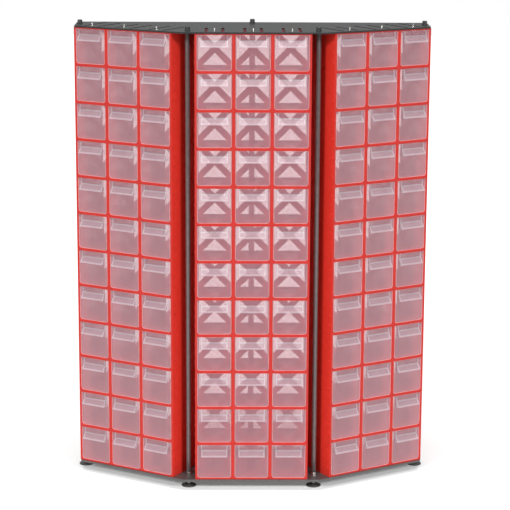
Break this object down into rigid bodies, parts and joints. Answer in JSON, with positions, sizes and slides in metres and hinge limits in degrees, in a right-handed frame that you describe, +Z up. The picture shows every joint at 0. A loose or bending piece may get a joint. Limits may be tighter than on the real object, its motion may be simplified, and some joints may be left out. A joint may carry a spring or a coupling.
{
  "type": "parts organizer",
  "caption": "Free-standing parts organizer: angled banks of clear sliding drawers in red modules between steel plates, on posts with levelling feet.",
  "frame": {"origin": "on the floor, under the middle of the organizer's bounding box", "axes": "+Z up, -Y the way the centre bank's drawers open, +X to the right of a person facing them"},
  "size_m": [0.9632, 0.292, 1.2466],
  "materials": {
    "red_plastic": "satin moulded plastic",
    "clear_plastic": "milky see-through plastic",
    "painted_steel": "dark grey powder coat",
    "post_steel": "mid grey semi-gloss paint",
    "foot_plastic": "dark moulded nylon",
    "black_steel": "black oxide steel",
    "zinc": "bright zinc plate"
  },
  "bodies": {
    "frame": {"base_plate": "painted_steel", "base_plate_screws": "zinc", "centre_bank_modules": "red_plastic", "front_left_post": "post_steel", "front_right_post": "post_steel", "left_bank_modules": "red_plastic", "outer_left_post": "post_steel", "outer_right_post": "post_steel", "plate_nuts": "zinc", "post_bolts_and_washers": "black_steel", "rear_post": "post_steel", "right_bank_modules": "red_plastic", "top_plate": "painted_steel", "top_plate_screws": "zinc"},
    "left_drawers_row_01": {"left_drawers_row_01": "clear_plastic"},
    "left_drawers_row_02": {"left_drawers_row_02": "clear_plastic"},
    "left_drawers_row_03": {"left_drawers_row_03": "clear_plastic"},
    "left_drawers_row_04": {"left_drawers_row_04": "clear_plastic"},
    "left_drawers_row_05": {"left_drawers_row_05": "clear_plastic"},
    "left_drawers_row_06": {"left_drawers_row_06": "clear_plastic"},
    "left_drawers_row_07": {"left_drawers_row_07": "clear_plastic"},
    "left_drawers_row_08": {"left_drawers_row_08": "clear_plastic"},
    "left_drawers_row_09": {"left_drawers_row_09": "clear_plastic"},
    "left_drawers_row_10": {"left_drawers_row_10": "clear_plastic"},
    "left_drawers_row_11": {"left_drawers_row_11": "clear_plastic"},
    "left_drawers_row_12": {"left_drawers_row_12": "clear_plastic"},
    "centre_drawers_row_01": {"centre_drawers_row_01": "clear_plastic"},
    "centre_drawers_row_02": {"centre_drawers_row_02": "clear_plastic"},
    "centre_drawers_row_03": {"centre_drawers_row_03": "clear_plastic"},
    "centre_drawers_row_04": {"centre_drawers_row_04": "clear_plastic"},
    "centre_drawers_row_05": {"centre_drawers_row_05": "clear_plastic"},
    "centre_drawers_row_06": {"centre_drawers_row_06": "clear_plastic"},
    "centre_drawers_row_07": {"centre_drawers_row_07": "clear_plastic"},
    "centre_drawers_row_08": {"centre_drawers_row_08": "clear_plastic"},
    "centre_drawers_row_09": {"centre_drawers_row_09": "clear_plastic"},
    "centre_drawers_row_10": {"centre_drawers_row_10": "clear_plastic"},
    "centre_drawers_row_11": {"centre_drawers_row_11": "clear_plastic"},
    "centre_drawers_row_12": {"centre_drawers_row_12": "clear_plastic"},
    "right_drawers_row_01": {"right_drawers_row_01": "clear_plastic"},
    "right_drawers_row_02": {"right_drawers_row_02": "clear_plastic"},
    "right_drawers_row_03": {"right_drawers_row_03": "clear_plastic"},
    "right_drawers_row_04": {"right_drawers_row_04": "clear_plastic"},
    "right_drawers_row_05": {"right_drawers_row_05": "clear_plastic"},
    "right_drawers_row_06": {"right_drawers_row_06": "clear_plastic"},
    "right_drawers_row_07": {"right_drawers_row_07": "clear_plastic"},
    "right_drawers_row_08": {"right_drawers_row_08": "clear_plastic"},
    "right_drawers_row_09": {"right_drawers_row_09": "clear_plastic"},
    "right_drawers_row_10": {"right_drawers_row_10": "clear_plastic"},
    "right_drawers_row_11": {"right_drawers_row_11": "clear_plastic"},
    "right_drawers_row_12": {"right_drawers_row_12": "clear_plastic"},
    "front_left_foot": {"front_left_foot_pad": "foot_plastic", "front_left_foot_stud": "zinc"},
    "front_right_foot": {"front_right_foot_pad": "foot_plastic", "front_right_foot_stud": "zinc"},
    "outer_left_foot": {"outer_left_foot_pad": "foot_plastic", "outer_left_foot_stud": "zinc"},
    "outer_right_foot": {"outer_right_foot_pad": "foot_plastic", "outer_right_foot_stud": "zinc"},
    "rear_foot": {"rear_foot_pad": "foot_plastic", "rear_foot_stud": "zinc"}
  },
  "joints": [
    {"name": "left_row_01_slide", "type": "slide", "parent": "frame", "child": "left_drawers_row_01", "axis": [-0.5, -0.866, 0], "range_m": [0, 0.085]},
    {"name": "left_row_02_slide", "type": "slide", "parent": "frame", "child": "left_drawers_row_02", "axis": [-0.5, -0.866, 0], "range_m": [0, 0.085]},
    {"name": "left_row_03_slide", "type": "slide", "parent": "frame", "child": "left_drawers_row_03", "axis": [-0.5, -0.866, 0], "range_m": [0, 0.085]},
    {"name": "left_row_04_slide", "type": "slide", "parent": "frame", "child": "left_drawers_row_04", "axis": [-0.5, -0.866, 0], "range_m": [0, 0.085]},
    {"name": "left_row_05_slide", "type": "slide", "parent": "frame", "child": "left_drawers_row_05", "axis": [-0.5, -0.866, 0], "range_m": [0, 0.085]},
    {"name": "left_row_06_slide", "type": "slide", "parent": "frame", "child": "left_drawers_row_06", "axis": [-0.5, -0.866, 0], "range_m": [0, 0.085]},
    {"name": "left_row_07_slide", "type": "slide", "parent": "frame", "child": "left_drawers_row_07", "axis": [-0.5, -0.866, 0], "range_m": [0, 0.085]},
    {"name": "left_row_08_slide", "type": "slide", "parent": "frame", "child": "left_drawers_row_08", "axis": [-0.5, -0.866, 0], "range_m": [0, 0.085]},
    {"name": "left_row_09_slide", "type": "slide", "parent": "frame", "child": "left_drawers_row_09", "axis": [-0.5, -0.866, 0], "range_m": [0, 0.085]},
    {"name": "left_row_10_slide", "type": "slide", "parent": "frame", "child": "left_drawers_row_10", "axis": [-0.5, -0.866, 0], "range_m": [0, 0.085]},
    {"name": "left_row_11_slide", "type": "slide", "parent": "frame", "child": "left_drawers_row_11", "axis": [-0.5, -0.866, 0], "range_m": [0, 0.085]},
    {"name": "left_row_12_slide", "type": "slide", "parent": "frame", "child": "left_drawers_row_12", "axis": [-0.5, -0.866, 0], "range_m": [0, 0.085]},
    {"name": "centre_row_01_slide", "type": "slide", "parent": "frame", "child": "centre_drawers_row_01", "axis": [0, -1, 0], "range_m": [0, 0.085]},
    {"name": "centre_row_02_slide", "type": "slide", "parent": "frame", "child": "centre_drawers_row_02", "axis": [0, -1, 0], "range_m": [0, 0.085]},
    {"name": "centre_row_03_slide", "type": "slide", "parent": "frame", "child": "centre_drawers_row_03", "axis": [0, -1, 0], "range_m": [0, 0.085]},
    {"name": "centre_row_04_slide", "type": "slide", "parent": "frame", "child": "centre_drawers_row_04", "axis": [0, -1, 0], "range_m": [0, 0.085]},
    {"name": "centre_row_05_slide", "type": "slide", "parent": "frame", "child": "centre_drawers_row_05", "axis": [0, -1, 0], "range_m": [0, 0.085]},
    {"name": "centre_row_06_slide", "type": "slide", "parent": "frame", "child": "centre_drawers_row_06", "axis": [0, -1, 0], "range_m": [0, 0.085]},
    {"name": "centre_row_07_slide", "type": "slide", "parent": "frame", "child": "centre_drawers_row_07", "axis": [0, -1, 0], "range_m": [0, 0.085]},
    {"name": "centre_row_08_slide", "type": "slide", "parent": "frame", "child": "centre_drawers_row_08", "axis": [0, -1, 0], "range_m": [0, 0.085]},
    {"name": "centre_row_09_slide", "type": "slide", "parent": "frame", "child": "centre_drawers_row_09", "axis": [0, -1, 0], "range_m": [0, 0.085]},
    {"name": "centre_row_10_slide", "type": "slide", "parent": "frame", "child": "centre_drawers_row_10", "axis": [0, -1, 0], "range_m": [0, 0.085]},
    {"name": "centre_row_11_slide", "type": "slide", "parent": "frame", "child": "centre_drawers_row_11", "axis": [0, -1, 0], "range_m": [0, 0.085]},
    {"name": "centre_row_12_slide", "type": "slide", "parent": "frame", "child": "centre_drawers_row_12", "axis": [0, -1, 0], "range_m": [0, 0.085]},
    {"name": "right_row_01_slide", "type": "slide", "parent": "frame", "child": "right_drawers_row_01", "axis": [0.5, -0.866, 0], "range_m": [0, 0.085]},
    {"name": "right_row_02_slide", "type": "slide", "parent": "frame", "child": "right_drawers_row_02", "axis": [0.5, -0.866, 0], "range_m": [0, 0.085]},
    {"name": "right_row_03_slide", "type": "slide", "parent": "frame", "child": "right_drawers_row_03", "axis": [0.5, -0.866, 0], "range_m": [0, 0.085]},
    {"name": "right_row_04_slide", "type": "slide", "parent": "frame", "child": "right_drawers_row_04", "axis": [0.5, -0.866, 0], "range_m": [0, 0.085]},
    {"name": "right_row_05_slide", "type": "slide", "parent": "frame", "child": "right_drawers_row_05", "axis": [0.5, -0.866, 0], "range_m": [0, 0.085]},
    {"name": "right_row_06_slide", "type": "slide", "parent": "frame", "child": "right_drawers_row_06", "axis": [0.5, -0.866, 0], "range_m": [0, 0.085]},
    {"name": "right_row_07_slide", "type": "slide", "parent": "frame", "child": "right_drawers_row_07", "axis": [0.5, -0.866, 0], "range_m": [0, 0.085]},
    {"name": "right_row_08_slide", "type": "slide", "parent": "frame", "child": "right_drawers_row_08", "axis": [0.5, -0.866, 0], "range_m": [0, 0.085]},
    {"name": "right_row_09_slide", "type": "slide", "parent": "frame", "child": "right_drawers_row_09", "axis": [0.5, -0.866, 0], "range_m": [0, 0.085]},
    {"name": "right_row_10_slide", "type": "slide", "parent": "frame", "child": "right_drawers_row_10", "axis": [0.5, -0.866, 0], "range_m": [0, 0.085]},
    {"name": "right_row_11_slide", "type": "slide", "parent": "frame", "child": "right_drawers_row_11", "axis": [0.5, -0.866, 0], "range_m": [0, 0.085]},
    {"name": "right_row_12_slide", "type": "slide", "parent": "frame", "child": "right_drawers_row_12", "axis": [0.5, -0.866, 0], "range_m": [0, 0.085]},
    {"name": "front_left_foot_level", "type": "slide", "parent": "frame", "child": "front_left_foot", "axis": [0, 0, -1], "range_m": [0, 0.012]},
    {"name": "front_right_foot_level", "type": "slide", "parent": "frame", "child": "front_right_foot", "axis": [0, 0, -1], "range_m": [0, 0.012]},
    {"name": "outer_left_foot_level", "type": "slide", "parent": "frame", "child": "outer_left_foot", "axis": [0, 0, -1], "range_m": [0, 0.012]},
    {"name": "outer_right_foot_level", "type": "slide", "parent": "frame", "child": "outer_right_foot", "axis": [0, 0, -1], "range_m": [0, 0.012]},
    {"name": "rear_foot_level", "type": "slide", "parent": "frame", "child": "rear_foot", "axis": [0, 0, -1], "range_m": [0, 0.012]}
  ]
}
